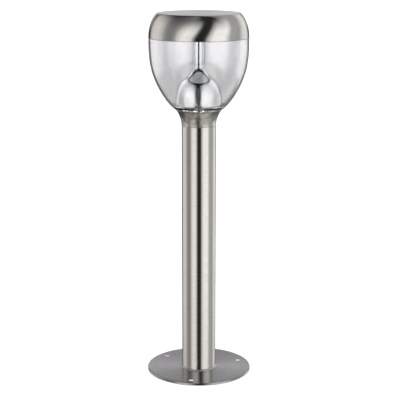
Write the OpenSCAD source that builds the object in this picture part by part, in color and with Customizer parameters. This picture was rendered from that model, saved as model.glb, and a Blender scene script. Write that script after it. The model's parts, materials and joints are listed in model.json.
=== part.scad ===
// Outdoor bollard light: round flange, tube post, flared neck, clear goblet
// globe, chromed bell reflector and a screw-on flat-topped cap.
// Origin: centre of the base plate's underside. +Z is up. Millimetres.

/* [Base] */
// Outer radius of the base plate
base_r = 78; // [74:1:90]
// Thickness of the base plate
base_t = 3; // [3:0.5:4]
// Pitch circle diameter of the fixing holes
hole_pcd = 130; // [124:1:136]
// Diameter of each fixing hole
hole_d = 7; // [5:0.5:9]
// Number of fixing holes
hole_count = 3; // [3:1:6]
// Direction of the first fixing hole, degrees from +X
hole_az = 20; // [0:5:90]

/* [Post] */
// Outside diameter of the post tube
post_od = 50.8; // [50.8:0.1:51.2]
// Wall thickness of the post tube
post_wall = 1.5; // [1.2:0.1:1.5]
// Height of the top of the post tube
post_top = 377; // [377:1:377]

/* [Neck and globe] */
// Radius of the bore of the cable grommet
cable_r = 4.5; // [3:0.5:6]
// Wall thickness of the clear globe
globe_wall = 2.2; // [2:0.1:2.4]
// Height of the shoulder that the cap closes on
shoulder_z = 505.8; // [505.8:0.1:505.8]
// Thickness of the globe's floor
floor_t = 6.5; // [6.3:0.1:6.5]
// Outer radius of the globe's threaded neck
thread_r = 68; // [67.5:0.1:68]

/* [Reflector] */
// Sheet thickness of the bell reflector
bell_t = 1.2; // [0.8:0.1:1.2]
// Outer radius of the reflector's stem
stem_r = 7.6; // [7.4:0.1:8]

/* [Cap] */
// Sheet thickness of the cap
cap_t = 1.2; // [0.8:0.1:1.2]
// Height of the flat top of the cap
total_h = 541.5; // [541:0.1:542]
// Lift of the cap when it has been unscrewed
cap_lift = 12; // [12:1:12]

/* [Light module] */
// Number of light emitting chips on the outer ring of the board
led_count = 12; // [6:1:16]
// Radius of the ring of chips
led_ring_r = 42; // [36:1:48]

/* [Hidden] */
$fn = 96;
post_r = post_od/2;
rod_r = 5;
rod_bore = 3.5;
rod_bot = 374;
rod_top = 534;
web_z = 385;
stem_top = 507.5;
foot_z = 401.5;
bell_z = 409;
shelf_z = 508.2;
carrier_z = 514;
n_curve = 22;

// ---- curve helpers -------------------------------------------------------
function bz(p, t) = pow(1-t,3)*p[0] + 3*pow(1-t,2)*t*p[1] + 3*(1-t)*t*t*p[2] + pow(t,3)*p[3];
function bd(p, t) = 3*pow(1-t,2)*(p[1]-p[0]) + 6*(1-t)*t*(p[2]-p[1]) + 3*t*t*(p[3]-p[2]);
function curve(p, n) = [for (i=[0:n]) bz(p, i/n)];
// The same curve moved inwards by d, to the left of its direction of travel
function inset(p, n, d) = [for (i=[0:n]) let(v = bd(p, min(max(i/n, 0.001), 0.999)), l = norm(v))
    bz(p, i/n) + d*[-v[1], v[0]]/l];
function rev(a) = [for (i=[len(a)-1:-1:0]) a[i]];
function tail(a) = [for (i=[1:len(a)-1]) a[i]];
function unit(v) = v/norm(v);
// Points along straight-ish runs with smooth turns through the given points
function cr(p0, p1, p2, p3, t) = 0.5*(2*p1 + (p2-p0)*t + (2*p0-5*p1+4*p2-p3)*t*t + (3*p1-p0-3*p2+p3)*t*t*t);
function smooth(r, m) = [for (i=[0:len(r)-2]) for (k=[0:m-1])
    cr(r[max(i-1,0)], r[i], r[i+1], r[min(i+2,len(r)-1)], k/m), r[len(r)-1]];

// Round lead swept along a path, eight sides
module lead(path, r) {
  n = len(path);
  s = 8;
  tg = [for (i=[0:n-1]) unit(path[min(i+1,n-1)] - path[max(i-1,0)])];
  ax = [for (i=[0:n-1]) unit(cross(tg[i], [1, 0.02, 0]))];
  ay = [for (i=[0:n-1]) cross(tg[i], ax[i])];
  pts = [for (i=[0:n-1]) for (k=[0:s-1]) path[i] + r*(cos(360*k/s)*ax[i] + sin(360*k/s)*ay[i])];
  side = [for (i=[0:n-2]) for (k=[0:s-1]) let(a=i*s+k, b=i*s+(k+1)%s) each [[a, b, a+s], [b, b+s, a+s]]];
  lid0 = [for (k=[1:s-2]) [0, k+1, k]];
  lid1 = [for (k=[1:s-2]) [(n-1)*s, (n-1)*s+k, (n-1)*s+k+1]];
  polyhedron(points=pts, faces=[for (f=concat(side, lid0, lid1)) [f[0], f[2], f[1]]], convexity=6);
}

// ---- profiles ------------------------------------------------------------
globe_low = [[35, foot_z], [45.5, 407.5], [67, 438], [71.5, 469.5]];
globe_high = [[71.5, 469.5], [73.4, 483], [73.4, 495], [73.4, shoulder_z]];
bell_low = [[34.4, bell_z], [34.4, 430], [28.4, 442.2], [19, 448.4]];
bell_high = [[19, 448.4], [14.2, 451.6], [stem_r, 460], [stem_r, 469]];
cap_edge = [[73.4, 506.1], [73.4, 524], [66, 536.5], [62, 540.7]];
collar_flare = [[25.4, 377.6], [25.4, 386], [30.6, 397.6], [34.8, 401.2]];
cap_in = concat(inset(cap_edge, n_curve, cap_t), []);
function cap_in_r(z) = lookup(z, [for (p=cap_in) [p[1], p[0]]]);

// ---- base and post -------------------------------------------------------
module base_plate() color([0.60, 0.60, 0.61]) difference() {
  rotate_extrude() polygon([[10, 1], [13, 1], [13, 0], [base_r-0.5, 0], [base_r, 0.5],
    [base_r, base_t-0.5], [base_r-0.5, base_t], [10, base_t]]);
  for (i=[0:hole_count-1]) rotate(hole_az + 360*i/hole_count)
    translate([hole_pcd/2, 0, -1]) cylinder(r=hole_d/2, h=base_t+2, $fn=48);
}
module base_weld() color([0.68, 0.67, 0.66]) rotate_extrude()
  polygon([[post_r, base_t], [post_r+1.7, base_t], [post_r+1.5, base_t+0.7],
    [post_r+0.8, base_t+1.4], [post_r, base_t+1.7]]);
module cable_grommet() color([0.10, 0.10, 0.10]) rotate_extrude()
  polygon([[cable_r, 0.2], [12.4, 0.2], [12.4, 1], [10, 1], [10, base_t], [12.6, base_t],
    [12.6, base_t+1.2], [9, base_t+2.4], [cable_r, base_t+2.4]]);
module set_screw_places(r0) for (a=[50, 130]) rotate([0, 0, a]) translate([r0, 0, 366]) rotate([0, 90, 0]) children();
module post_tube() color([0.75, 0.73, 0.70]) difference() {
  translate([0, 0, base_t]) cylinder(r=post_r, h=post_top-base_t);
  translate([0, 0, base_t-1]) cylinder(r=post_r-post_wall, h=post_top-base_t+2);
  set_screw_places(20) cylinder(r=2.2, h=8, $fn=32);
}

// ---- neck ----------------------------------------------------------------
module neck_collar() color([0.64, 0.62, 0.58]) difference() {
  rotate_extrude() polygon(concat(
    [[5.2, web_z], [20.5, web_z], [20.5, 352], [23.2, 352], [23.8, 352.6], [23.8, post_top], [24.9, post_top], [25.3, post_top+0.25]],
    curve(collar_flare, 16),
    [[34.8, 401.5], [28, 401.5], [28, 400.7], [22, 400.7], [22, 392], [20, 390], [5.2, 390]]));
  set_screw_places(18) cylinder(r=2.0, h=8, $fn=32);
}
module collar_set_screws() color([0.35, 0.35, 0.36]) set_screw_places(19.5) difference() {
  cylinder(r=1.95, h=5.8, $fn=32);
  translate([0, 0, 3.6]) cylinder(r=1.15, h=3, $fn=6);
}
module globe_gasket() color([0.08, 0.08, 0.08]) rotate_extrude()
  polygon([[23, 400.7], [27.6, 400.7], [27.6, foot_z], [23, foot_z]]);

// ---- globe ---------------------------------------------------------------
module globe() color([0.85, 0.88, 0.90, 0.3]) rotate_extrude(convexity=8) polygon(concat(
  [[5.5, foot_z]], curve(globe_low, n_curve), tail(curve(globe_high, 12)),
  [[71.7, shoulder_z], [71.7, shelf_z], [thread_r, shelf_z], [thread_r, 517.5], [thread_r-0.5, 518],
   [thread_r-3, 518], [thread_r-3, 507.4], [thread_r-2.8, 506.6], [thread_r-1.8, 506.4], [69.9, 506.4], [71.1, 505.4]],
  rev([for (p=inset(globe_high, 12, globe_wall)) if (p[1] < 504) p]),
  tail(rev([for (p=inset(globe_low, n_curve, globe_wall)) if (p[1] > foot_z+floor_t+0.8) p])),
  [[39.2, foot_z+floor_t+0.25], [37.8, foot_z+floor_t], [5.5, foot_z+floor_t]]));
module globe_seal() color([0.08, 0.08, 0.08]) rotate_extrude()
  polygon([[thread_r+0.3, shelf_z], [71.4, shelf_z], [71.4, 508.6], [71, 508.9], [thread_r+0.7, 508.9], [thread_r+0.3, 508.6]]);

// ---- reflector on its tie rod ---------------------------------------------
module reflector_gasket() color([0.08, 0.08, 0.08]) rotate_extrude()
  polygon([[26, foot_z+floor_t], [33.4, foot_z+floor_t], [33.9, foot_z+floor_t+0.4], [33.9, bell_z-0.3], [33.6, bell_z], [26, bell_z]]);
module reflector_bell() color([0.88, 0.89, 0.90]) rotate_extrude(convexity=8) polygon(concat(
  curve(bell_low, n_curve), tail(curve(bell_high, n_curve)), [[stem_r, stem_top]],
  [[stem_r-bell_t, stem_top]], rev(inset(bell_high, n_curve, bell_t)), tail(rev(inset(bell_low, n_curve, bell_t))),
  [[34.4-bell_t, bell_z+1.2], [22, bell_z+1.2], [22, bell_z]]));
module stem_bush() color([0.80, 0.70, 0.40]) rotate_extrude()
  polygon([[rod_r+0.1, 502], [stem_r-bell_t-0.1, 502], [stem_r-bell_t-0.1, stem_top], [stem_r, stem_top],
    [stem_r, stem_top+2], [rod_r+0.1, stem_top+2]]);
module tie_rod() color([0.72, 0.72, 0.70]) difference() {
  translate([0, 0, rod_bot]) cylinder(r=rod_r, h=rod_top-rod_bot, $fn=64);
  translate([0, 0, rod_bot-1]) cylinder(r=rod_bore, h=rod_top-rod_bot+2, $fn=64);
  // flat that keeps the light module from turning
  translate([-8, -14.2, stem_top+6.2]) cube([16, 10, 40]);
}
module hex_nut(af, h, bore) difference() {
  cylinder(r=af/2/cos(30), h=h, $fn=6);
  translate([0, 0, -1]) cylinder(r=bore, h=h+2, $fn=48);
}
module tie_rod_top_nut() color([0.70, 0.68, 0.62]) translate([0, 0, stem_top+2]) hex_nut(13.5, 4, rod_r+0.05);
module tie_rod_washer() color([0.72, 0.71, 0.68]) translate([0, 0, 382]) difference() {
  cylinder(r=10, h=1.5); translate([0, 0, -1]) cylinder(r=rod_r+0.3, h=4, $fn=48);
}
module tie_rod_bottom_nut() color([0.70, 0.68, 0.62]) translate([0, 0, 377]) hex_nut(14, 5, rod_r+0.05);

// ---- wiring frame under the neck -------------------------------------------
block_y0 = -5;
tongue_y = 10.5;
pole_x = [-9, 0, 9];
module terminal_bracket() color([0.74, 0.74, 0.72]) difference() {
  union() {
    translate([-12, -10, 383.5]) cube([24, 22, 1.5]);
    translate([-12, tongue_y, 296]) cube([24, 1.5, 89]);
  }
  translate([0, 0, 380]) cylinder(r=rod_r+0.3, h=8, $fn=48);
  for (x=[-4.5, 4.5]) translate([x, 20, 341]) rotate([90, 0, 0]) cylinder(r=1.7, h=20, $fn=32);
  for (x=[-8, 8]) translate([x, 20, 306]) rotate([90, 0, 0]) cylinder(r=1.7, h=20, $fn=32);
  translate([6, 20, 364]) rotate([90, 0, 0]) cylinder(r=2.2, h=20, $fn=32);
}
module terminal_block() color([0.92, 0.92, 0.90]) difference() {
  translate([-14, block_y0, 332]) cube([28, tongue_y-block_y0, 18]);
  for (x=pole_x) {
    translate([x, 3, 331]) cylinder(r=2.45, h=20, $fn=32);
    for (z=[336.5, 345.5]) translate([x, 1, z]) rotate([90, 0, 0]) cylinder(r=2.2, h=8, $fn=32);
  }
  for (x=[-4.5, 4.5]) {
    translate([x, 20, 341]) rotate([90, 0, 0]) cylinder(r=1.7, h=30, $fn=32);
    translate([x, -3, 341]) rotate([90, 0, 0]) cylinder(r=1.95, h=5, $fn=32);
  }
}
module terminal_clamps() color([0.80, 0.65, 0.30]) for (x=pole_x) difference() {
  translate([x, 3, 332.8]) cylinder(r=2.4, h=16.4, $fn=32);
  translate([x, 3, 331]) cylinder(r=1.5, h=20, $fn=32);
  for (z=[336.5, 345.5]) translate([x, 2.9, z]) rotate([90, 0, 0]) cylinder(r=1.35, h=5, $fn=32);
}
module terminal_screws() color([0.75, 0.75, 0.73]) for (x=pole_x) for (z=[336.5, 345.5]) difference() {
  union() {
    translate([x, -1.2, z]) rotate([90, 0, 0]) cylinder(r=2.0, h=1.8, $fn=32);
    translate([x, 1.6, z]) rotate([90, 0, 0]) cylinder(r=1.3, h=2.9, $fn=32);
  }
  translate([x-3, -4, z-0.3]) cube([6, 1.8, 0.6]);
}
module block_screws() color([0.72, 0.72, 0.70]) for (x=[-4.5, 4.5]) difference() {
  union() {
    translate([x, 15.6, 341]) rotate([90, 0, 0]) cylinder(r=1.5, h=18.7, $fn=32);
    translate([x, -3, 341]) rotate([90, 0, 0]) cylinder(r=1.9, h=1.6, $fn=32);
  }
  translate([x-3, -5, 340.7]) cube([6, 1.2, 0.6]);
}
module cord_anchor_bar() color([0.15, 0.15, 0.15]) difference() {
  translate([-11.5, -1.5, 302]) cube([23, 5, 8]);
  translate([0, 6.5, 300]) cylinder(r=4.6, h=12, $fn=48);
  for (x=[-8, 8]) translate([x, 20, 306]) rotate([90, 0, 0]) cylinder(r=1.7, h=30, $fn=32);
}
module anchor_screws() color([0.72, 0.72, 0.70]) for (x=[-8, 8]) difference() {
  union() {
    translate([x, 15.6, 306]) rotate([90, 0, 0]) cylinder(r=1.5, h=17.1, $fn=32);
    translate([x, -1.5, 306]) rotate([90, 0, 0]) cylinder(r=2.7, h=1.8, $fn=32);
  }
  translate([x-3, -5, 305.7]) cube([6, 2.6, 0.6]);
}
module bracket_nuts() color([0.70, 0.68, 0.62])
  for (q=[[-4.5, 341], [4.5, 341], [-8, 306], [8, 306]])
    translate([q[0], 14.4, q[1]]) rotate([90, 0, 0]) hex_nut(5.5, 2.4, 1.55);
module earth_screw() color([0.72, 0.72, 0.70]) difference() {
  union() {
    translate([6, 16.5, 364]) rotate([90, 0, 0]) cylinder(r=2, h=6.8, $fn=32);
    translate([6, 9.7, 364]) rotate([90, 0, 0]) cylinder(r=3.6, h=2.4, $fn=32);
  }
  translate([2, 6.3, 363.6]) cube([8, 2, 0.8]);
}
module earth_nut() color([0.70, 0.68, 0.62]) translate([6, 15.2, 364]) rotate([90, 0, 0]) hex_nut(7, 3.2, 2.05);
module earth_ring_terminal() color([0.80, 0.72, 0.50]) difference() {
  union() {
    translate([6, tongue_y, 364]) rotate([90, 0, 0]) cylinder(r=4.2, h=0.8, $fn=48);
    translate([4.8, tongue_y-0.8, 357]) cube([2.4, 0.8, 5]);
    translate([6, 8.9, 353.5]) cylinder(r=1.6, h=4.4, $fn=32);
  }
  translate([6, 12, 364]) rotate([90, 0, 0]) cylinder(r=2.1, h=6, $fn=32);
  translate([6, 8.9, 352]) cylinder(r=1.15, h=4.9, $fn=32);
}
earth_route = [[9, 3, 346.9], [9, 3, 350.5], [9, 4.2, 352.2], [8.6, 6, 352.6], [7.2, 7.6, 352], [6.2, 8.7, 352.6], [6, 8.9, 354.4], [6, 8.9, 356.6]];
live_route = [[-9, 3, 346.9], [-9, 3, 352], [-7.5, 2.2, 358], [-4, 1, 364], [-2.1, 0.2, 370], [-1.5, 0, 376], [-1.5, 0, 384],
  [-1.5, 0, 430], [-1.5, 0, 480], [-1.5, 0, 525], [-1.5, 0, 533]];
neutral_route = [[0, 3, 346.9], [0, 3, 352], [0.6, 2.2, 358], [1.2, 1, 364], [1.5, 0.2, 370], [1.5, 0, 376], [1.5, 0, 384],
  [1.5, 0, 430], [1.5, 0, 480], [1.5, 0, 525], [1.5, 0, 533]];
module earth_lead() color([0.55, 0.70, 0.15]) lead(smooth(earth_route, 3), 1.0);
module live_lead() color([0.40, 0.22, 0.12]) lead(smooth(live_route, 3), 1.1);
module neutral_lead() color([0.15, 0.30, 0.65]) lead(smooth(neutral_route, 3), 1.1);
// slack loops from the top of the rod to the driver
module lead_loops() color([0.45, 0.25, 0.18]) for (s=[-1, 1])
  lead(smooth([[1.5*s, 0, 533.2], [1.5*s, 0, 535], [2*s, 1.6, 537.2], [3*s, 4.6, 538], [4*s, 7.4, 536.6],
    [4.6*s, 8.6, 533], [5*s, 8.8, 529.4], [5.2*s, 9.8, 526.6], [5.4*s, 11.6, 525.4], [5.4*s, 13.2, 525.2]], 3), 1.1);

// ---- light module, slides on the rod and does not turn ----------------------
module led_carrier() color([0.78, 0.79, 0.80]) difference() {
  rotate_extrude(convexity=6) polygon([[0, carrier_z], [62, carrier_z], [62, 506.9], [64, 506.9],
    [64, 520.3], [67.2, 520.3], [67.2, 522.3], [62, 522.3], [62, carrier_z+3], [10, carrier_z+3], [10, 524], [0, 524]]);
  // keyed bore, 0.3 all round the rod
  difference() {
    translate([0, 0, 510]) cylinder(r=rod_r+0.35, h=20, $fn=64);
    translate([-8, -14.55, 509]) cube([16, 10, 22]);
  }
  // wire hole and driver screw holes
  translate([40, 25, 510]) cylinder(r=3, h=10, $fn=32);
  for (x=[-31, 31]) translate([x, 25, 510]) cylinder(r=1.6, h=10, $fn=32);
  for (a=[45:90:315]) rotate(a) translate([52, 0, 510]) cylinder(r=1.6, h=10, $fn=32);
}
module thermal_pad() color([0.55, 0.60, 0.68]) translate([0, 0, 513.5]) difference() {
  cylinder(r=56, h=0.5);
  translate([0, 0, -1]) cylinder(r=10, h=3);
  for (a=[45:90:315]) rotate(a) translate([52, 0, -1]) cylinder(r=1.9, h=3, $fn=32);
  translate([40, 25, -1]) cylinder(r=4, h=3, $fn=32);
}
module led_board() color([0.94, 0.94, 0.92]) translate([0, 0, 511.9]) difference() {
  cylinder(r=57, h=1.6);
  translate([0, 0, -1]) cylinder(r=9.5, h=4);
  for (a=[45:90:315]) rotate(a) translate([52, 0, -1]) cylinder(r=1.7, h=4, $fn=32);
}
module led_chips() color([0.95, 0.85, 0.45]) {
  for (i=[0:led_count-1]) rotate(360*(i+0.5)/led_count) translate([led_ring_r-1.75, -1.4, 511.2]) cube([3.5, 2.8, 0.7]);
  for (i=[0:5]) rotate(60*i+15) translate([22-1.75, -1.4, 511.2]) cube([3.5, 2.8, 0.7]);
}
module board_screws() color([0.74, 0.74, 0.72]) for (a=[45:90:315]) rotate(a) translate([52, 0, 0]) difference() {
  union() {
    translate([0, 0, 510.2]) cylinder(r=2.7, h=1.7, $fn=32);
    translate([0, 0, 511]) cylinder(r=1.5, h=5.8, $fn=32);
  }
  translate([0, 0, 509]) cylinder(r=1.2, h=2.2, $fn=6);
}
module diffuser_plate() color([0.82, 0.85, 0.85]) rotate_extrude()
  polygon([[9, 507.2], [60.6, 507.2], [60.6, 509.2], [9.4, 509.2], [9, 508.8]]);
module diffuser_bezel() color([0.09, 0.09, 0.09]) rotate_extrude()
  polygon([[50, 506.2], [50.4, 505.9], [64.1, 505.9], [64.5, 506.3], [64.5, 506.7], [61.9, 506.7], [61.9, 511.2], [60.7, 511.2], [60.7, 507.2], [50, 507.2]]);
module led_driver() color([0.93, 0.93, 0.92]) difference() {
  union() {
    translate([-25, 13.4, carrier_z+3]) cube([50, 23.2, 13]);
    translate([-35, 19, carrier_z+3]) cube([70, 12, 2.5]);
  }
  for (x=[-31, 31]) translate([x, 25, carrier_z+2]) cylinder(r=1.7, h=6, $fn=32);
}
module driver_screws() color([0.72, 0.72, 0.70]) for (x=[-31, 31]) translate([x, 25, 0]) difference() {
  union() {
    translate([0, 0, 514.4]) cylinder(r=1.5, h=5.6, $fn=32);
    translate([0, 0, 519.5]) cylinder(r=2.7, h=1.7, $fn=32);
  }
  translate([0, 0, 520.2]) cylinder(r=1.2, h=2.2, $fn=6);
}
module board_leads() color([0.70, 0.12, 0.10]) for (s=[-1, 1])
  lead(smooth([[25.2, 25+1.3*s, 526], [29, 25+1.3*s, 526.4], [34, 25+1.3*s, 525.6], [38, 25+1.3*s, 523], [39.8, 25+1.3*s, 519], [40, 25+1.3*s, 515.5], [40, 25+1.3*s, 513.5]], 2), 0.8);

// ---- cap, turns on the globe's thread ---------------------------------------
module cap_shell() color([0.66, 0.65, 0.63]) rotate_extrude(convexity=6) polygon(concat(
  curve(cap_edge, n_curve), [[61.2, 541.3], [60.6, total_h], [0, total_h], [0, total_h-cap_t], [60, total_h-cap_t]],
  rev(cap_in)));
module cap_thread_ring() color([0.20, 0.20, 0.21]) rotate_extrude(convexity=6) polygon(concat(
  [for (i=[0:12]) let(z=509.3 + i*1.28) [cap_in_r(z)-0.05, z]],
  [[67.6, 524.7], [67.6, 524], [68.1, 524], [68.1, 522.5], [67.6, 522.5], [67.6, 520.0],
   [64.8, 520.0], [64.8, 518.8], [thread_r+0.3, 518.8], [thread_r+0.3, 509.3]]));
module cap_snap_ring() color([0.55, 0.55, 0.56]) rotate([0, 0, 100]) rotate_extrude(angle=340)
  polygon([[65, 522.7], [68, 522.7], [68, 523.8], [65, 523.8]]);

base_plate();
base_weld();
cable_grommet();
post_tube();
neck_collar();
collar_set_screws();
globe_gasket();
globe();
globe_seal();
reflector_gasket();
reflector_bell();
stem_bush();
tie_rod();
tie_rod_top_nut();
tie_rod_bottom_nut();
tie_rod_washer();
terminal_bracket();
terminal_block();
terminal_clamps();
terminal_screws();
block_screws();
cord_anchor_bar();
anchor_screws();
bracket_nuts();
earth_screw();
earth_nut();
earth_ring_terminal();
earth_lead();
live_lead();
neutral_lead();
lead_loops();
led_carrier();
thermal_pad();
led_board();
led_chips();
board_screws();
diffuser_plate();
diffuser_bezel();
led_driver();
driver_screws();
board_leads();
cap_shell();
cap_thread_ring();
cap_snap_ring();
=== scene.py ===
# Looks for the bollard light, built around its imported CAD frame.
import bpy, bmesh, json, math
from mathutils import Vector, Matrix


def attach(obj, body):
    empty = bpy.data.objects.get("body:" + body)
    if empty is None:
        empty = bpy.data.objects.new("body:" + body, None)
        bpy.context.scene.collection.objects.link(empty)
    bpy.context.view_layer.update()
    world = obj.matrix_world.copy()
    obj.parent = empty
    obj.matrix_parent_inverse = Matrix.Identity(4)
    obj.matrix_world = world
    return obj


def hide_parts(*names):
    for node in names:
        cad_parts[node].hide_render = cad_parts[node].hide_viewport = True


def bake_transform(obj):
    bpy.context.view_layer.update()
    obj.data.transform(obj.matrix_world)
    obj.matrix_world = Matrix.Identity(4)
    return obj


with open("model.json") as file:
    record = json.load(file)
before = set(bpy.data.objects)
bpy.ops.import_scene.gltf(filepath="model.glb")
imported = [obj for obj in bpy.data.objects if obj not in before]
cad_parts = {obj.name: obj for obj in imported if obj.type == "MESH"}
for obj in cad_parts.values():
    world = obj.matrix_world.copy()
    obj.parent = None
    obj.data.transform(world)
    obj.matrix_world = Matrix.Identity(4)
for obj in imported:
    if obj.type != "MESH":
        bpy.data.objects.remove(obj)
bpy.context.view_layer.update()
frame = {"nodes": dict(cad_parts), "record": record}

MM = 0.001
nodes = frame["nodes"]
scene = bpy.context.scene

# ---------------------------------------------------------------- geometry helpers

def bez(p, n):
    out = []
    for i in range(n + 1):
        t = i / n
        a, b, c, d = (1 - t) ** 3, 3 * (1 - t) ** 2 * t, 3 * (1 - t) * t * t, t ** 3
        out.append((a * p[0][0] + b * p[1][0] + c * p[2][0] + d * p[3][0],
                    a * p[0][1] + b * p[1][1] + c * p[2][1] + d * p[3][1]))
    return out


def inset(p, n, dist):
    """The same curve moved by dist to the left of its direction of travel."""
    pts = bez(p, n)
    out = []
    for i in range(n + 1):
        t = min(max(i / n, 0.001), 0.999)
        dx = 3 * (1 - t) ** 2 * (p[1][0] - p[0][0]) + 6 * (1 - t) * t * (p[2][0] - p[1][0]) + 3 * t * t * (p[3][0] - p[2][0])
        dz = 3 * (1 - t) ** 2 * (p[1][1] - p[0][1]) + 6 * (1 - t) * t * (p[2][1] - p[1][1]) + 3 * t * t * (p[3][1] - p[2][1])
        l = math.hypot(dx, dz)
        out.append((pts[i][0] - dist * dz / l, pts[i][1] + dist * dx / l))
    return out


def rounded(points, steps=5):
    """Points are (r, z) or (r, z, fillet radius); corners with a radius become arcs."""
    out = []
    n = len(points)
    for i, q in enumerate(points):
        rad = q[2] if len(q) > 2 else 0
        p = Vector((q[0], q[1]))
        if rad <= 0:
            out.append((p.x, p.y))
            continue
        a = Vector(points[i - 1][:2]) - p
        b = Vector(points[(i + 1) % n][:2]) - p
        la, lb = a.length, b.length
        a, b = a / la, b / lb
        ang = math.acos(max(-1, min(1, a.dot(b))))
        if ang > math.pi - 0.02:
            out.append((p.x, p.y))
            continue
        cut = min(rad / math.tan(ang / 2), la * 0.49, lb * 0.49)
        rr = cut * math.tan(ang / 2)
        c = p + (a + b).normalized() * (rr / math.sin(ang / 2))
        s, e = p + a * cut - c, p + b * cut - c
        a0, a1 = math.atan2(s.y, s.x), math.atan2(e.y, e.x)
        da = (a1 - a0 + math.pi) % (2 * math.pi) - math.pi
        for k in range(steps + 1):
            th = a0 + da * k / steps
            out.append((c.x + rr * math.cos(th), c.y + rr * math.sin(th)))
    return out


def mesh_object(name, verts, faces, smooth_angle=30):
    me = bpy.data.meshes.new(name)
    me.from_pydata(verts, [], faces)
    me.update()
    bm = bmesh.new(); bm.from_mesh(me)
    bmesh.ops.remove_doubles(bm, verts=bm.verts, dist=1e-7)
    bmesh.ops.recalc_face_normals(bm, faces=bm.faces)
    bm.to_mesh(me); bm.free()
    for p in me.polygons:
        p.use_smooth = True
    me.set_sharp_from_angle(angle=math.radians(smooth_angle))
    ob = bpy.data.objects.new(name, me)
    scene.collection.objects.link(ob)
    return ob


def lathe(name, profile, segs=192, warp=None, smooth_angle=30):
    """Closed profile of (r, z) in mm turned about Z. warp(r, z, angle) may move a point's radius and height."""
    prof = list(profile)
    n = len(prof)
    verts, rows = [], []
    for r, z in prof:
        if r < 1e-6:
            rows.append([len(verts)] * segs)
            verts.append((0, 0, z * MM))
            continue
        row = []
        for k in range(segs):
            a = 2 * math.pi * k / segs
            rr, zz = (r, z) if warp is None else warp(r, z, a)
            row.append(len(verts))
            verts.append((rr * math.cos(a) * MM, rr * math.sin(a) * MM, zz * MM))
        rows.append(row)
    faces = []
    for i in range(n):
        a, b = rows[i], rows[(i + 1) % n]
        if a[0] == a[1 % segs] and b[0] == b[1 % segs]:
            continue
        for k in range(segs):
            k2 = (k + 1) % segs
            f = [a[k], a[k2], b[k2], b[k]]
            g = []
            for v in f:
                if v not in g:
                    g.append(v)
            if len(g) > 2:
                faces.append(g)
    return mesh_object(name, verts, faces, smooth_angle)


def catmull(pts, m):
    out = []
    n = len(pts)
    for i in range(n - 1):
        p0, p1, p2, p3 = (Vector(pts[max(i - 1, 0)]), Vector(pts[i]), Vector(pts[i + 1]), Vector(pts[min(i + 2, n - 1)]))
        for k in range(m):
            t = k / m
            out.append(0.5 * (2 * p1 + (p2 - p0) * t + (2 * p0 - 5 * p1 + 4 * p2 - p3) * t * t + (3 * p1 - p0 - 3 * p2 + p3) * t ** 3))
    out.append(Vector(pts[-1]))
    return out


def sweep(name, path, radius, sides=16, caps=True):
    """Round tube along a path, in mm, with a frame carried along it."""
    n = len(path)
    tan = [(path[min(i + 1, n - 1)] - path[max(i - 1, 0)]).normalized() for i in range(n)]
    ref = Vector((1, 0.02, 0))
    ax = (tan[0].cross(ref)).normalized()
    verts, faces = [], []
    for i in range(n):
        ax = (ax - tan[i] * ax.dot(tan[i])).normalized()
        ay = tan[i].cross(ax)
        for k in range(sides):
            a = 2 * math.pi * k / sides
            verts.append((path[i] + (ax * math.cos(a) + ay * math.sin(a)) * radius) * MM)
    for i in range(n - 1):
        for k in range(sides):
            a, b = i * sides + k, i * sides + (k + 1) % sides
            faces.append((a, b, b + sides, a + sides))
    if caps:
        faces.append(tuple(range(sides))[::-1])
        faces.append(tuple((n - 1) * sides + k for k in range(sides)))
    return mesh_object(name, verts, faces, 50)


def boolean_cut(ob, cutters):
    for c in cutters:
        m = ob.modifiers.new("cut", "BOOLEAN")
        m.operation = "DIFFERENCE"; m.solver = "EXACT"; m.object = c
    bpy.context.view_layer.update()
    dg = bpy.context.evaluated_depsgraph_get()
    me = bpy.data.meshes.new_from_object(ob.evaluated_get(dg))
    ob.modifiers.clear()
    old = ob.data
    ob.data = me
    bpy.data.meshes.remove(old)
    for c in cutters:
        bpy.data.objects.remove(c)
    for p in me.polygons:
        p.use_smooth = True
    me.set_sharp_from_angle(angle=math.radians(30))
    return ob

# ---------------------------------------------------------------- material helpers

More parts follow.
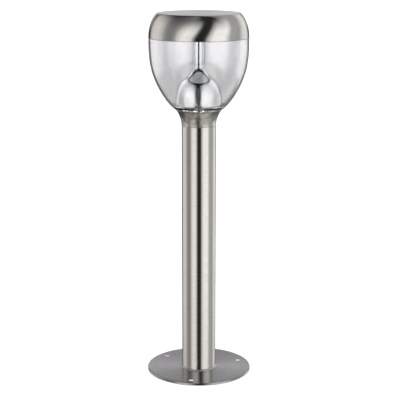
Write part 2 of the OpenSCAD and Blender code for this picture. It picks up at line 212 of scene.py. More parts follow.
class Mat:
    def __init__(self, name):
        self.m = bpy.data.materials.new(name)
        self.m.use_nodes = True
        self.t = self.m.node_tree
        self.b = self.t.nodes["Principled BSDF"]
        self.tc = self.t.nodes.new("ShaderNodeTexCoord")

    def n(self, kind, **kw):
        x = self.t.nodes.new(kind)
        for k, v in kw.items():
            setattr(x, k, v)
        return x

    def l(self, a, b):
        self.t.links.new(a, b)

    def set(self, **kw):
        for k, v in kw.items():
            self.b.inputs[k.replace("_", " ")].default_value = v
        return self

    def math(self, op, a, b=None, clamp=False):
        x = self.n("ShaderNodeMath", operation=op, use_clamp=clamp)
        for i, v in enumerate((a, b)):
            if v is None:
                continue
            if isinstance(v, (int, float)):
                x.inputs[i].default_value = v
            else:
                self.l(v, x.inputs[i])
        return x.outputs[0]

    def cyl(self, ka, kr, kz):
        """Coordinates (angle, radius, height) about the Z axis, each times its own factor (radius and height in metres)."""
        s = self.n("ShaderNodeSeparateXYZ")
        self.l(self.tc.outputs["Object"], s.inputs[0])
        x, y, z = s.outputs
        ang = self.math("ARCTAN2", y, x)
        rad = self.math("SQRT", self.math("ADD", self.math("MULTIPLY", x, x), self.math("MULTIPLY", y, y)))
        c = self.n("ShaderNodeCombineXYZ")
        self.l(self.math("MULTIPLY", ang, ka), c.inputs[0])
        self.l(self.math("MULTIPLY", rad, kr), c.inputs[1])
        self.l(self.math("MULTIPLY", z, kz), c.inputs[2])
        return c.outputs[0], (x, y, z, ang, rad)

    def noise(self, vec, scale, detail=2.0, rough=0.5, dist=0.0):
        x = self.n("ShaderNodeTexNoise")
        x.inputs["Scale"].default_value = scale
        x.inputs["Detail"].default_value = detail
        x.inputs["Roughness"].default_value = rough
        x.inputs["Distortion"].default_value = dist
        self.l(vec, x.inputs["Vector"])
        return x.outputs["Fac"]

    def ramp(self, fac, stops, mode="LINEAR"):
        x = self.n("ShaderNodeValToRGB")
        x.color_ramp.interpolation = mode
        el = x.color_ramp.elements
        while len(el) > 1:
            el.remove(el[-1])
        el[0].position = stops[0][0]
        el[0].color = col(stops[0][1])
        for p, c in stops[1:]:
            e = el.new(p)
            e.color = col(c)
        self.l(fac, x.inputs[0])
        return x.outputs[0]

    def remap(self, fac, lo, hi, a=0.0, b=1.0):
        x = self.n("ShaderNodeMapRange", clamp=True)
        for i, v in enumerate((lo, hi, a, b)):
            x.inputs[1 + i].default_value = v
        self.l(fac, x.inputs[0])
        return x.outputs[0]

    def bump(self, height, strength=0.3, distance=0.0001, normal=None):
        x = self.n("ShaderNodeBump")
        x.inputs["Strength"].default_value = strength
        x.inputs["Distance"].default_value = distance
        self.l(height, x.inputs["Height"])
        if normal is not None:
            self.l(normal, x.inputs["Normal"])
        return x.outputs["Normal"]


def col(c):
    if isinstance(c, (int, float)):
        return (c, c, c, 1)
    return (c[0], c[1], c[2], 1)


def brushed(name, base, dark, rough, grain, aniso=0.75, turn=0.0, fine=1.0, mottled=0.0):
    """Brushed stainless. grain is 'ring' for brushing round the axis on a wall, 'disc' for concentric brushing on a flat."""
    m = Mat(name)
    m.set(Metallic=1.0, Anisotropic=aniso, Anisotropic_Rotation=turn)
    if grain == "ring":
        v, _ = m.cyl(0.35, 0.0, 900.0)
        v2, _ = m.cyl(1.2, 0.0, 160.0)
    else:
        v, _ = m.cyl(0.35, 1100.0, 0.0)
        v2, _ = m.cyl(1.2, 180.0, 0.0)
    hair = m.noise(v, 4.0 * fine, 3, 0.65)
    streak = m.noise(v2, 2.0, 3, 0.6)
    cloud = m.noise(m.tc.outputs["Object"], 28.0, 3, 0.55)
    f = m.math("ADD", m.math("MULTIPLY", hair, 0.45), m.math("MULTIPLY", streak, 0.35))
    f = m.math("ADD", f, m.math("MULTIPLY", cloud, 0.20 + mottled))
    m.l(m.ramp(f, [(0.30, dark), (0.62, base)]), m.b.inputs["Base Color"])
    m.l(m.remap(f, 0.3, 0.7, rough * 1.25, rough * 0.8), m.b.inputs["Roughness"])
    m.l(m.bump(hair, 0.10, 0.00002), m.b.inputs["Normal"])
    tg = m.n("ShaderNodeTangent", direction_type="RADIAL", axis="Z")
    m.l(tg.outputs[0], m.b.inputs["Tangent"])
    return m.m


def plastic(name, c, c2, rough=0.5, scale=900, bump=0.15, coat=0.0, spec=0.5):
    m = Mat(name)
    v = m.tc.outputs["Object"]
    g = m.noise(v, scale, 3, 0.6)
    big = m.noise(v, 60, 2, 0.5)
    f = m.math("ADD", m.math("MULTIPLY", g, 0.5), m.math("MULTIPLY", big, 0.5))
    m.l(m.ramp(f, [(0.35, c2), (0.65, c)]), m.b.inputs["Base Color"])
    m.l(m.remap(g, 0.3, 0.7, rough * 0.85, min(1, rough * 1.15)), m.b.inputs["Roughness"])
    m.l(m.bump(g, bump, 0.00004), m.b.inputs["Normal"])
    m.set(Specular_IOR_Level=spec, Coat_Weight=coat)
    return m.m


def metal(name, c, c2, rough=0.25, scale=400, bump=0.1):
    m = Mat(name)
    m.set(Metallic=1.0)
    v = m.tc.outputs["Object"]
    g = m.noise(v, scale, 3, 0.6)
    big = m.noise(v, 90, 3, 0.5)
    f = m.math("ADD", m.math("MULTIPLY", g, 0.4), m.math("MULTIPLY", big, 0.6))
    m.l(m.ramp(f, [(0.35, c2), (0.65, c)]), m.b.inputs["Base Color"])
    m.l(m.remap(f, 0.3, 0.7, rough * 1.3, rough * 0.8), m.b.inputs["Roughness"])
    m.l(m.bump(g, bump, 0.00003), m.b.inputs["Normal"])
    return m.m

# ---------------------------------------------------------------- materials

M = {}
M["stainless_post"] = brushed("stainless_post", (0.72, 0.70, 0.67), (0.63, 0.61, 0.58), 0.17, "ring", aniso=0.8, turn=0.25)
M["stainless_cap"] = brushed("stainless_cap", (0.70, 0.69, 0.67), (0.62, 0.61, 0.59), 0.12, "ring", aniso=0.5, turn=0.25)
M["stainless_cap_top"] = brushed("stainless_cap_top", (0.70, 0.70, 0.73), (0.63, 0.63, 0.66), 0.20, "disc", aniso=0.5, turn=0.25)
M["stainless_plate"] = brushed("stainless_plate", (0.52, 0.51, 0.515), (0.46, 0.45, 0.455), 0.24, "disc", aniso=0.85, turn=0.25)


def satin_collar():
    """Cast and satin-finished neck: soft, cloudy reflections instead of the tube's crisp lines."""
    m = Mat("stainless_collar")
    m.set(Metallic=1.0)
    v = m.tc.outputs["Object"]
    cloud = m.noise(v, 75, 2, 0.45, 0.6)
    fine = m.noise(v, 900, 3, 0.6)
    f = m.math("ADD", m.math("MULTIPLY", cloud, 0.8), m.math("MULTIPLY", fine, 0.2))
    m.l(m.ramp(f, [(0.36, (0.48, 0.47, 0.42)), (0.48, (0.62, 0.595, 0.545)), (0.62, (0.80, 0.785, 0.74))]), m.b.inputs["Base Color"])
    m.l(m.remap(cloud, 0.35, 0.65, 0.34, 0.22), m.b.inputs["Roughness"])
    swell = m.bump(m.noise(v, 70, 1, 0.4), 0.8, 0.0016)
    m.l(m.bump(fine, 0.12, 0.00003, swell), m.b.inputs["Normal"])
    return m.m


M["stainless_collar"] = satin_collar()
M["stainless_weld"] = metal("stainless_weld", (0.76, 0.75, 0.73), (0.60, 0.58, 0.55), 0.18, 900, 0.2)
M["cut_steel"] = metal("cut_steel", (0.95, 0.95, 0.94), (0.86, 0.86, 0.85), 0.55, 1500, 0.3)
M["cut_steel"].node_tree.nodes["Principled BSDF"].inputs["Metallic"].default_value = 0.25
M["zinc_steel"] = metal("zinc_steel", (0.72, 0.72, 0.70), (0.58, 0.58, 0.57), 0.28, 700)
M["brass_parts"] = metal("brass_parts", (0.80, 0.60, 0.26), (0.66, 0.47, 0.18), 0.24, 600)
M["spun_aluminium"] = brushed("spun_aluminium", (0.86, 0.87, 0.88), (0.76, 0.77, 0.78), 0.30, "disc", aniso=0.4)
M["screw_black"] = metal("screw_black", (0.10, 0.10, 0.11), (0.06, 0.06, 0.06), 0.40, 700)
M["rubber_black"] = plastic("rubber_black", (0.020, 0.020, 0.021), (0.012, 0.012, 0.012), 0.65, 1400, 0.25, spec=0.35)
M["black_nylon"] = plastic("black_nylon", (0.012, 0.012, 0.013), (0.008, 0.008, 0.008), 0.40, 1100, 0.2, spec=0.3)
M["white_nylon"] = plastic("white_nylon", (0.84, 0.84, 0.82), (0.76, 0.76, 0.73), 0.42, 1100, 0.15)
M["white_board"] = plastic("white_board", (0.90, 0.90, 0.87), (0.82, 0.82, 0.80), 0.30, 800, 0.1, coat=0.4)
M["pad_grey"] = plastic("pad_grey", (0.42, 0.46, 0.52), (0.34, 0.38, 0.44), 0.75, 1000, 0.3)
M["led_yellow"] = plastic("led_yellow", (0.92, 0.72, 0.16), (0.80, 0.60, 0.10), 0.25, 900, 0.1, coat=0.6)
M["lead_brown"] = plastic("lead_brown", (0.20, 0.085, 0.035), (0.15, 0.06, 0.025), 0.38, 500, 0.1)
M["lead_blue"] = plastic("lead_blue", (0.03, 0.13, 0.48), (0.02, 0.10, 0.38), 0.38, 500, 0.1)
M["lead_red"] = plastic("lead_red", (0.55, 0.03, 0.02), (0.42, 0.02, 0.015), 0.38, 500, 0.1)


def striped_lead():
    m = Mat("lead_green_yellow")
    s = m.n("ShaderNodeSeparateXYZ")
    m.l(m.tc.outputs["Object"], s.inputs[0])
    w = m.math("GREATER_THAN", m.math("SINE", m.math("MULTIPLY", s.outputs[2], 1800.0)), 0.2)
    mix = m.n("ShaderNodeMix", data_type="RGBA")
    mix.inputs["A"].default_value = (0.05, 0.33, 0.07, 1)
    mix.inputs["B"].default_value = (0.80, 0.68, 0.06, 1)
    m.l(w, mix.inputs["Factor"])
    m.l(mix.outputs["Result"], m.b.inputs["Base Color"])
    g = m.noise(m.tc.outputs["Object"], 500, 2)
    m.l(m.remap(g, 0.3, 0.7, 0.32, 0.46), m.b.inputs["Roughness"])
    return m.m


M["lead_green_yellow"] = striped_lead()


def chrome():
    m = Mat("bright_chrome")
    m.set(Metallic=1.0)
    v = m.tc.outputs["Object"]
    f = m.noise(v, 45, 3, 0.5)
    m.l(m.ramp(f, [(0.3, (0.80, 0.81, 0.83)), (0.7, (0.90, 0.905, 0.91))]), m.b.inputs["Base Color"])
    g = m.noise(v, 700, 2, 0.6)
    m.l(m.remap(g, 0.3, 0.8, 0.015, 0.045), m.b.inputs["Roughness"])
    m.l(m.bump(m.noise(v, 160, 2, 0.5), 0.02, 0.00002), m.b.inputs["Normal"])
    return m.m


M["bright_chrome"] = chrome()


def clear_globe():
    m = Mat("clear_globe")
    m.set(Transmission_Weight=1.0, IOR=1.52, Specular_IOR_Level=0.5, Coat_Weight=1.0, Coat_IOR=1.8, Coat_Roughness=0.02)
    v = m.tc.outputs["Object"]
    s = m.n("ShaderNodeSeparateXYZ")
    m.l(v, s.inputs[0])
    # Painted reflection: the glass tint is lighter and a little cooler towards the top, standing in for the pale arch
    # of the backdrop over the dome; the grey tint itself and its small noise are the glass's own.
    painted_reflection_rise = m.remap(s.outputs[2], 0.445, 0.485)
    f = m.math("ADD", m.math("MULTIPLY", m.noise(v, 18, 3, 0.5), 0.10), m.math("MULTIPLY", painted_reflection_rise, 0.9))
    m.l(m.ramp(f, [(0.0, (0.69, 0.69, 0.695)), (1.0, (0.78, 0.78, 0.80))]), m.b.inputs["Base Color"])
    g = m.noise(v, 240, 3, 0.55)
    m.l(m.remap(g, 0.3, 0.8, 0.0, 0.02), m.b.inputs["Roughness"])
    m.l(m.bump(m.noise(v, 22, 2, 0.4), 0.03, 0.0004), m.b.inputs["Normal"])
    return m.m


M["clear_globe"] = clear_globe()


def frosted():
    m = Mat("frosted_diffuser")
    m.set(Subsurface_Weight=0.25, Subsurface_Scale=0.004, Specular_IOR_Level=0.5)
    m.b.inputs["Subsurface Radius"].default_value = (1.0, 1.0, 1.0)
    v = m.tc.outputs["Object"]
    vo = m.n("ShaderNodeTexVoronoi", feature="F1")
    vo.inputs["Scale"].default_value = 260
    m.l(v, vo.inputs["Vector"])
    g = m.noise(v, 320, 3, 0.6)
    f = m.math("ADD", m.math("MULTIPLY", vo.outputs["Distance"], 0.5), m.math("MULTIPLY", g, 0.5))
    m.l(m.ramp(f, [(0.2, (0.58, 0.66, 0.65)), (0.6, (0.76, 0.82, 0.81))]), m.b.inputs["Base Color"])
    m.l(m.remap(g, 0.3, 0.7, 0.45, 0.6), m.b.inputs["Roughness"])
    m.l(m.bump(vo.outputs["Distance"], 0.6, 0.0004), m.b.inputs["Normal"])
    return m.m


M["frosted_diffuser"] = frosted()


def give(ob, slot, mat=None):
    ob.data.materials.clear()
    ob.data.materials.append(mat or M[slot])


def stand_in(ob, body, node, slot, mat=None):
    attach(ob, body)
    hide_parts(node)
    give(ob, slot, mat)
    return ob

# CAD nodes that keep their mesh: a material from their slot, zinc steel where the slot has none here
slot_of = {s["node"]: s["material_slot"] for s in frame["record"]["subparts"]}
for name, ob in nodes.items():
    ob.data.materials.clear()
    ob.data.materials.append(M.get(slot_of.get(name), M["zinc_steel"]) if slot_of.get(name) in M else M["zinc_steel"])

# ---------------------------------------------------------------- profiles, in mm

GLOBE_LOW = [(35, 401.5), (45.5, 407.5), (67, 438), (71.5, 469.5)]
GLOBE_HIGH = [(71.5, 469.5), (73.4, 483), (73.4, 495), (73.4, 505.8)]
BELL_LOW = [(34.4, 409), (34.4, 430), (28.4, 442.2), (19, 448.4)]
BELL_HIGH = [(19, 448.4), (14.2, 451.6), (7.6, 460), (7.6, 469)]
CAP_EDGE = [(73.4, 506.1), (73.4, 524), (66, 536.5), (62, 540.7)]
COLLAR = [(25.4, 377.6), (25.4, 386), (30.6, 397.6), (34.8, 401.2)]
POST_R = 25.4


def base_flange():
    prof = rounded([(10, 1, 0.15), (13, 1), (13, 0, 0.2), (78, 0, 0.35), (78, 3, 0.55), (10, 3, 0.3)], 5)
    # extra rings keep the flat faces from being single long slivers
    out = []
    for i, p in enumerate(prof):
        out.append(p)
        q = prof[(i + 1) % len(prof)]
        if abs(p[1] - q[1]) < 1e-6 and abs(p[0] - q[0]) > 20:
            for k in range(1, 12):
                out.append((p[0] + (q[0] - p[0]) * k / 12, p[1]))
    ob = lathe("base_flange", out, 192)
    cutters = []
    for a in (20, 140, 260):
        c = lathe("hole_cutter", [(0, -1), (4.5, -1), (3.9, 0.0), (3.5, 0.35), (3.5, 2.45), (4.0, 3.0), (4.6, 3.6), (4.6, 5), (0, 5)], 48)
        c.location = (0.065 * math.cos(math.radians(a)), 0.065 * math.sin(math.radians(a)), 0)
        cutters.append(c)
    bpy.context.view_layer.update()
    boolean_cut(ob, cutters)
    give(ob, "stainless_plate")
    ob.data.materials.append(M["cut_steel"])
    for p in ob.data.polygons:
        q = p.center / MM
        near = min((math.hypot(q.x - 65 * math.cos(math.radians(a)), q.y - 65 * math.sin(math.radians(a))) for a in (20, 140, 260)))
        if near < 3.8 and abs(p.normal.z) < 0.3:
            p.material_index = 1
    return ob


flange = base_flange()
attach(flange, "stand")
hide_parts("base_plate")
flange.visible_glossy = False   # the polished post shows the room down to its foot


def weld():
    prof = rounded([(25.4, 3), (27.1, 3, 0.2), (26.95, 3.75, 0.5), (26.2, 4.45, 0.5), (25.4, 4.7, 0.1)], 4)

    def ripple(r, z, a):
        if r < 25.45:
            return r, z
        s = math.sin(a * 84 + 0.8 * math.sin(a * 7)) * 0.07 + math.sin(a * 11) * 0.03
        return r + s, z + s * 0.6 if z > 3.01 else z
    return lathe("weld_bead", prof, 504, ripple, 60)


stand_in(weld(), "stand", "base_weld", "stainless_weld")


def collar():
    prof = rounded([(5.2, 385), (20.5, 385), (20.5, 352, 0.3), (23.2, 352), (23.8, 352.6), (23.8, 377), (24.9, 377), (25.3, 377.25)]
                   + [(p[0], p[1]) for p in bez(COLLAR, 40)]
                   + [(34.8, 401.5, 0.12), (28, 401.5, 0.12), (28, 400.7), (22, 400.7), (22, 392), (20, 390), (5.2, 390)], 3)
    return lathe("neck_collar_flare", prof, 192)


stand_in(collar(), "stand", "neck_collar", "stainless_collar")

THREAD_PITCH, THREAD_LEAD = 4.0, 8.0


def ridge(z, a):
    """Rounded trapezoid thread form, two starts."""
    u = ((z - THREAD_LEAD * a / (2 * math.pi)) / THREAD_PITCH) % 1.0
    d = abs(u - 0.5) * 2
    return min(1.0, max(0.0, (0.78 - d) / 0.45))


GLASS = 2.2
FLOOR_TOP = 408
BELL_Z = 409


def globe():
    neck = []
    z = 509.0
    while z < 517.2:
        neck.append((67.99, z)); z += 0.3
    prof = ([(5.5, 401.5)] + bez(GLOBE_LOW, 72) + bez(GLOBE_HIGH, 28)[1:-1]
            + [(73.4, 505.45), (73.3, 505.7), (73.05, 505.8), (71.7, 505.8), (71.7, 508.0), (71.5, 508.2), (68, 508.2), (67.3, 508.3)] + neck
            + rounded([(68, 517.2), (68, 518, 0.5), (65, 518, 0.5), (65, 512)], 4)[1:-1]
            + [(65, 512), (65, 507.4)] + bez([(65, 507.4), (65, 506.6), (65.3, 506.4), (66.2, 506.4)], 8)[1:]
            + [(69.9, 506.4), (70.3, 506.25), (71.1, 505.4), (71.2, 505.15), (71.2, 503.5)]
            + [p for p in inset(GLOBE_HIGH, 28, GLASS)[::-1] if p[1] < 501.8]
            + [p for p in inset(GLOBE_LOW, 72, GLASS)[::-1][1:] if p[1] > FLOOR_TOP + 0.8]
            + [(39.2, FLOOR_TOP + 0.25), (38.6, FLOOR_TOP + 0.05), (37.8, FLOOR_TOP), (5.5, FLOOR_TOP)])

    def warp(r, zz, a):
        if abs(r - 67.99) < 1e-6:
            k = min(1, (zz - 508.9) / 1.0, (517.4 - zz) / 1.0)
            return 67.25 + 0.72 * ridge(zz, a) * max(0, k), zz
        return r, zz
    return lathe("globe_clear", prof, 256, warp, 35)


stand_in(globe(), "stand", "globe", "clear_globe")


def bell():
    prof = (bez(BELL_LOW, 64) + bez(BELL_HIGH, 56)[1:] + [(7.6, 480), (7.6, 495), (7.6, 507.35), (7.45, 507.5)]
            + [(6.4, 507.5)] + inset(BELL_HIGH, 40, 1.2)[::-1] + inset(BELL_LOW, 48, 1.2)[::-1][1:]
            + [(33.2, BELL_Z + 1.2), (22, BELL_Z + 1.2), (22, BELL_Z)])
    return lathe("reflector_bell_chromed", prof, 256, None, 35)


stand_in(bell(), "stand", "reflector_bell", "bright_chrome")

# rings of rubber and nylon, with moulded edges
stand_in(lathe("neck_gasket_ring", rounded([(23, 400.7), (27.6, 400.7, 0.2), (27.6, 401.5, 0.2), (23, 401.5)], 4), 160), "stand", "globe_gasket", "rubber_black")
stand_in(lathe("bell_gasket_ring", rounded([(26, FLOOR_TOP), (33.4, FLOOR_TOP, 0.1), (33.9, FLOOR_TOP + 0.5, 0.25), (33.4, BELL_Z, 0.1), (26, BELL_Z)], 4), 192), "stand", "reflector_gasket", "rubber_black")
stand_in(lathe("shoulder_seal_ring", rounded([(68.3, 508.2, 0.1), (71.4, 508.2, 0.1), (71.4, 508.9, 0.3), (68.3, 508.9, 0.3)], 4), 192), "stand", "globe_seal", "rubber_black")
stand_in(lathe("bezel_ring", rounded([(50, 505.9, 0.5), (64.5, 505.9, 0.4), (64.5, 506.7, 0.1), (61.9, 506.7), (61.9, 511.2, 0.2), (60.7, 511.2), (60.7, 507.2), (50, 507.2)], 5), 192),
         "lamp_module", "diffuser_bezel", "black_nylon")


def cap():
    outer = bez(CAP_EDGE, 72)
    inner = inset(CAP_EDGE, 60, 1.2)
    prof = ([(73.1, 506.1), (73.3, 506.16), (73.4, 506.34)] + outer[1:-2] + [(61.72, 540.98), (61.35, 541.28), (60.9, 541.45), (60.4, 541.5)]
            + [(55, 541.5), (48, 541.5), (40, 541.5), (30, 541.5), (20, 541.5), (10, 541.5), (0, 541.5), (0, 540.3), (30, 540.3), (60, 540.3)]
            + inner[::-1][:-1] + [(72.2, 506.3), (72.4, 506.1)])
    ob = lathe("cap_shell_spun", prof, 256, None, 40)
    return ob


cap_ob = stand_in(cap(), "cap", "cap_shell", "stainless_cap")
cap_ob.data.materials.append(M["stainless_cap_top"])
for p in cap_ob.data.polygons:
    if p.center.z > 0.54149 and p.normal.z > 0.9:
        p.material_index = 1


def thread_ring():
    inner_r = {z: r for r, z in inset(CAP_EDGE, 200, 1.2)}
    zs = sorted(inner_r)

    def in_r(z):
        k = min(zs, key=lambda q: abs(q - z))
        return inner_r[k]
    outer = [(in_r(509.3 + i * 1.28) - 0.05, 509.3 + i * 1.28) for i in range(13)]
    z = 518.4
    bore = []
    while z > 509.6:
        bore.append((68.301, z)); z -= 0.3
    prof = outer + [(67.6, 524.7), (67.6, 524), (68.1, 524), (68.1, 522.5), (67.6, 522.5), (67.6, 520), (64.8, 520), (64.8, 518.8), (68.3, 518.8)] + bore + [(68.3, 509.3)]

    def warp(r, zz, a):
        if abs(r - 68.301) < 1e-6:
            k = min(1, (zz - 509.4) / 0.8, (518.5 - zz) / 0.8)
            return 69.05 - 0.72 * ridge(zz + 2.0, a) * max(0, k), zz
        return r, zz
    return lathe("cap_thread", prof, 256, warp, 35)


stand_in(thread_ring(), "cap", "cap_thread_ring", "black_nylon")

# leads: smooth round tubes on the CAD's routes
ROUTES = {
    "earth_lead": ([(9, 3, 346.9), (9, 3, 350.5), (9, 4.2, 352.2), (8.6, 6, 352.6), (7.2, 7.6, 352), (6.2, 8.7, 352.6), (6, 8.9, 354.4), (6, 8.9, 356.6)], 1.0),
    "live_lead": ([(-9, 3, 346.9), (-9, 3, 352), (-7.5, 2.2, 358), (-4, 1, 364), (-2.1, 0.2, 370), (-1.5, 0, 376), (-1.5, 0, 384), (-1.5, 0, 430), (-1.5, 0, 480), (-1.5, 0, 525), (-1.5, 0, 533)], 1.1),
    "neutral_lead": ([(0, 3, 346.9), (0, 3, 352), (0.6, 2.2, 358), (1.2, 1, 364), (1.5, 0.2, 370), (1.5, 0, 376), (1.5, 0, 384), (1.5, 0, 430), (1.5, 0, 480), (1.5, 0, 525), (1.5, 0, 533)], 1.1),
}
for nm, (pts, rad) in ROUTES.items():
    stand_in(sweep(nm + "_insulated", catmull(pts, 8), rad * 0.99, 20), "stand", nm, slot_of[nm])
for s in (-1, 1):
    path = catmull([(1.5 * s, 0, 533.2), (1.5 * s, 0, 535), (2 * s, 1.6, 537.2), (3 * s, 4.6, 538), (4 * s, 7.4, 536.6),
                    (4.6 * s, 8.6, 533), (5 * s, 8.8, 529.4), (5.2 * s, 9.8, 526.6), (5.4 * s, 11.6, 525.4), (5.4 * s, 13.2, 525.2)], 8)
    o = sweep("slack_lead_%s" % ("a" if s < 0 else "b"), path, 1.08, 18)
    give(o, "lead_brown", M["lead_brown"] if s < 0 else M["lead_blue"])
    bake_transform(o)
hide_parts("lead_loops")
for s in (-1, 1):
    o = sweep("board_lead_%s" % ("a" if s < 0 else "b"), catmull([(25.2, 25 + 1.3 * s, 526), (29, 25 + 1.3 * s, 526.4), (34, 25 + 1.3 * s, 525.6),
              (38, 25 + 1.3 * s, 523), (39.8, 25 + 1.3 * s, 519), (40, 25 + 1.3 * s, 515.5), (40, 25 + 1.3 * s, 513.5)], 8), 0.79, 16)
    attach(o, "lamp_module")
    give(o, "lead_red")
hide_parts("board_leads")

# ---------------------------------------------------------------- stage, world, lights, camera

def studio_world():
    w = bpy.data.worlds.new("studio")
    scene.world = w
    w.use_nodes = True
    t = w.node_tree
    t.nodes.clear()

    def n(kind, **kw):
        x = t.nodes.new(kind)
        for k, v in kw.items():
            setattr(x, k, v)
        return x

    def mth(op, a, b=None, c=None):
        x = n("ShaderNodeMath", operation=op)
        for i, v in enumerate((a, b, c)):
            if v is None:
                continue
            if isinstance(v, (int, float)):
                x.inputs[i].default_value = v
            else:
                t.links.new(v, x.inputs[i])
        return x.outputs[0]

    def smooth(v, lo, hi, a=0.0, b=1.0):
        x = n("ShaderNodeMapRange", interpolation_type="SMOOTHSTEP", clamp=True)
        for i, q in enumerate((lo, hi, a, b)):
            x.inputs[1 + i].default_value = q
        t.links.new(v, x.inputs[0])
        return x.outputs[0]

    def ramp(fac, stops, lo, hi):
        x = n("ShaderNodeValToRGB")
        x.color_ramp.interpolation = "EASE"
        el = x.color_ramp.elements
        while len(el) > 1:
            el.remove(el[-1])
        el[0].position = (stops[0][0] - lo) / (hi - lo)
        el[0].color = col(stops[0][1])
        for p, c in stops[1:]:
            e = el.new((p - lo) / (hi - lo))
            e.color = col(c)
        m = n("ShaderNodeMapRange", clamp=True)
        m.inputs[1].default_value = lo
        m.inputs[2].default_value = hi
        t.links.new(fac, m.inputs[0])
        t.links.new(m.outputs[0], x.inputs[0])
        return x.outputs[0]

    tc = n("ShaderNodeTexCoord")
    sep = n("ShaderNodeSeparateXYZ")
    t.links.new(tc.outputs["Generated"], sep.inputs[0])
    x, y, z = sep.outputs
    az = mth("MULTIPLY", mth("ARCTAN2", x, mth("MULTIPLY", y, -1.0)), 57.29578)
    elv = mth("MULTIPLY", mth("ARCSINE", z), 57.29578)
    # rays that left the mirror bell through the globe
    lp = n("ShaderNodeLightPath")
    inner = mth("MULTIPLY", lp.outputs["Is Transmission Ray"], mth("GREATER_THAN", lp.outputs["Glossy Depth"], 0.5))
    # the panels lean: above the horizon their edges move to the right with height on the right-hand side
    rise = n("ShaderNodeMapRange", clamp=True)
    for i, q in enumerate((2.0, 78.0, 0.0, 46.0)):
        rise.inputs[1 + i].default_value = q
    t.links.new(elv, rise.inputs[0])
    mask = mth("MULTIPLY", smooth(az, -90, -10), smooth(az, 115, 178, 1.0, 0.0))
    a2 = mth("SUBTRACT", az, mth("MULTIPLY", rise.outputs[0], mask))
    # light level round the object, as a multiple of white paper
    wrm, pnk, cool = (1.0, 0.985, 0.955), (1.0, 0.955, 0.935), (0.985, 0.99, 1.0)

    def c(v, tint):
        return (v * tint[0], v * tint[1], v * tint[2])
    band = ramp(a2, [(-180, 0.28), (-166, 0.20), (-157, 0.05), (-147, 0.05), (-139, c(0.6, pnk)), (-127, c(0.85, pnk)), (-108, c(0.88, pnk)), (-95, c(0.7, pnk)),
                     (-86, c(0.42, pnk)), (-77, 0.29), (-67, 0.27), (-58, c(0.40, wrm)), (-50, c(0.85, wrm)), (-37, c(1.2, wrm)), (-19, c(1.05, wrm)),
                     (-13, 0.40), (-7.5, 0.02), (8, 0.02), (13, 0.07), (22, c(0.75, wrm)), (32, c(1.25, wrm)), (60, c(1.3, cool)),
                     (68, 0.90), (76, 0.50), (104, 0.46), (112, 0.72), (120, c(0.95, wrm)), (138, c(1.05, wrm)), (149, 0.4), (158, 0.06), (170, 0.20), (180, 0.28)], -180, 180)
    high = ramp(az, [(-180, 0.26), (-140, 0.05), (-110, 0.04), (-70, 0.08), (-40, 0.14), (-20, 0.20), (-2, 0.15), (15, 0.03), (58, 0.02), (78, 0.26), (110, 0.42), (140, 0.36), (180, 0.38)], -180, 180)
    low = ramp(az, [(-180, 0.30), (-150, 0.06), (-125, 0.08), (-95, c(0.34, wrm)), (-70, c(0.30, wrm)), (-35, c(0.66, wrm)), (-20, c(0.46, wrm)), (-12, 0.05), (10, 0.04), (18, c(0.5, wrm)),
                    (40, c(0.66, wrm)), (80, 0.46), (115, 0.26), (140, 0.10), (180, 0.35)], -180, 180)
    # soft boxes close to the clear globe, which only the mirror bell inside it shows
    near = ramp(az, [(-180, 0.08), (-152, 0.12), (-142, 0.9), (-126, 0.95), (-106, 0.50), (-84, 0.56), (-68, 1.05), (-44, 1.1), (-27, 1.0), (-20, 0.4), (-14, 0.01), (6, 0.01), (12, 0.3), (18, 1.0),
                     (35, 1.1), (56, 1.05), (70, 0.8), (91, 0.55), (104, 0.7), (118, 0.9), (136, 0.7), (148, 0.12), (180, 0.08)], -180, 180)
    over = ramp(az, [(-180, 0.08), (-150, 0.12), (-138, 0.8), (-120, 0.8), (-100, 0.42), (-80, 0.40), (-60, 0.46), (-44, 0.52), (-30, 0.38), (-21, 0.2), (-14, 0.01), (6, 0.01), (13, 0.25), (22, 0.5),
                     (35, 0.74), (52, 0.66), (70, 0.52), (88, 0.65), (108, 0.9), (135, 0.75), (148, 0.12), (180, 0.08)], -180, 180)

    def mix(f, a, b):
        m = n("ShaderNodeMix", data_type="RGBA")
        t.links.new(f, m.inputs["Factor"])
        t.links.new(a, m.inputs["A"])
        t.links.new(b, m.inputs["B"])
        return m.outputs["Result"]
    e = mix(smooth(elv, 14, 60), band, high)
    e = mix(smooth(elv, -19, -27), e, low)
    e = mix(inner, e, mix(smooth(elv, 12, 48), near, over))
    # the space behind: a long low lamp that draws the sheen across the flange
    back = mth("MULTIPLY", smooth(mth("ABSOLUTE", mth("SUBTRACT", elv, 20.7)), 2.5, 5.5, 1.0, 0.0), smooth(mth("ABSOLUTE", az), 140, 162))
    top = mth("MULTIPLY", smooth(mth("ABSOLUTE", mth("SUBTRACT", elv, 8.0)), 4, 9, 1.0, 0.0), smooth(mth("ABSOLUTE", az), 140, 160))
    bg = n("ShaderNodeBackground")
    t.links.new(e, bg.inputs["Color"])
    t.links.new(mth("ADD", 1.0, mth("MULTIPLY", inner, 1.3)), bg.inputs["Strength"])
    extra = n("ShaderNodeBackground")
    extra.inputs["Color"].default_value = (0.975, 0.965, 1.0, 1)
    t.links.new(mth("ADD", mth("MULTIPLY", back, 0.42), mth("MULTIPLY", top, 0.38)), extra.inputs["Strength"])
    both = n("ShaderNodeAddShader")
    t.links.new(bg.outputs[0], both.inputs[0])
    t.links.new(extra.outputs[0], both.inputs[1])
    plain = n("ShaderNodeBackground")
    plain.inputs["Color"].default_value = (0.97, 0.97, 0.97, 1)
    t.links.new(mth("ADD", 1.0, mth("MULTIPLY", mth("GREATER_THAN", lp.outputs["Diffuse Depth"], 0.5), mth("MULTIPLY", lp.outputs["Is Transmission Ray"], 1.6))), plain.inputs["Strength"])
    ms = n("ShaderNodeMixShader")
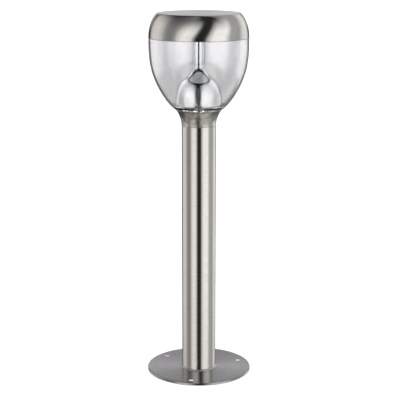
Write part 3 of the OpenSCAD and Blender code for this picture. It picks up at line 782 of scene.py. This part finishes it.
    # what is seen straight, or through the clear globe, is plain paper; only reflections see the panels
    through = mth("MULTIPLY", lp.outputs["Is Transmission Ray"], mth("LESS_THAN", lp.outputs["Glossy Depth"], 0.5))
    matt = mth("GREATER_THAN", lp.outputs["Diffuse Depth"], 0.5)
    t.links.new(mth("MAXIMUM", mth("MAXIMUM", lp.outputs["Is Camera Ray"], through), matt), ms.inputs[0])
    t.links.new(both.outputs[0], ms.inputs[1])
    t.links.new(plain.outputs[0], ms.inputs[2])
    out = n("ShaderNodeOutputWorld")
    t.links.new(ms.outputs[0], out.inputs[0])


studio_world()


def floor():
    bm = bmesh.new()
    bmesh.ops.create_grid(bm, x_segments=8, y_segments=8, size=14)
    me = bpy.data.meshes.new("studio_floor")
    bm.to_mesh(me); bm.free()
    ob = bpy.data.objects.new("studio_floor", me)
    scene.collection.objects.link(ob)
    ob.location = (0, 0, -0.0002)
    m = Mat("floor_paper")
    m.set(Roughness=0.9, Specular_IOR_Level=0.1)
    f = m.noise(m.tc.outputs["Object"], 3.0, 3, 0.5)
    m.l(m.ramp(f, [(0.3, 0.93), (0.7, 0.95)]), m.b.inputs["Base Color"])
    me.materials.append(m.m)
    ob.visible_glossy = False
    ob.visible_transmission = False


floor()


def hole_paper():
    """The same pale floor inside each fixing hole, where the bright walls of the hole also mirror it."""
    for a in (20, 140, 260):
        bm = bmesh.new()
        bmesh.ops.create_circle(bm, cap_ends=True, segments=32, radius=0.00345)
        me = bpy.data.meshes.new("hole_paper_%d" % a)
        bm.to_mesh(me); bm.free()
        ob = bpy.data.objects.new(me.name, me)
        scene.collection.objects.link(ob)
        ob.location = (0.065 * math.cos(math.radians(a)), 0.065 * math.sin(math.radians(a)), 0.0001)
        me.materials.append(bpy.data.materials["floor_paper"])


hole_paper()


def area(name, loc, target, size, size_y, power, glossy=False):
    d = bpy.data.lights.new(name, "AREA")
    d.shape = "RECTANGLE"; d.size = size; d.size_y = size_y; d.energy = power
    ob = bpy.data.objects.new(name, d)
    scene.collection.objects.link(ob)
    ob.location = loc
    ob.rotation_euler = (Vector(target) - Vector(loc)).to_track_quat("-Z", "Y").to_euler()
    ob.visible_glossy = glossy
    ob.visible_transmission = False
    ob.visible_camera = False
    return ob


sun_d = bpy.data.lights.new("overhead", "SUN")
sun_d.energy = 1.6
sun_d.angle = math.radians(110)
sun = bpy.data.objects.new("overhead", sun_d)
scene.collection.objects.link(sun)
sun.visible_glossy = False
sun.visible_transmission = False

cam_d = bpy.data.cameras.new("camera")
cam_d.lens = 107.54
cam_d.sensor_width = 36.0
cam_d.shift_x = 0.003
cam_d.clip_end = 100
cam = bpy.data.objects.new("camera", cam_d)
scene.collection.objects.link(cam)
cam.location = (0, -1.74307, 0.65971)
cam.rotation_euler = (math.pi / 2 - 0.2232, 0, 0)
scene.camera = cam

scene.view_settings.view_transform = "Standard"
scene.view_settings.look = "None"
scene.view_settings.exposure = 0.0
scene.view_settings.gamma = 1.0
scene.cycles.max_bounces = 16
scene.cycles.transmission_bounces = 12
scene.cycles.glossy_bounces = 8
scene.cycles.transparent_max_bounces = 12
scene.cycles.caustics_refractive = True
scene.cycles.caustics_reflective = False
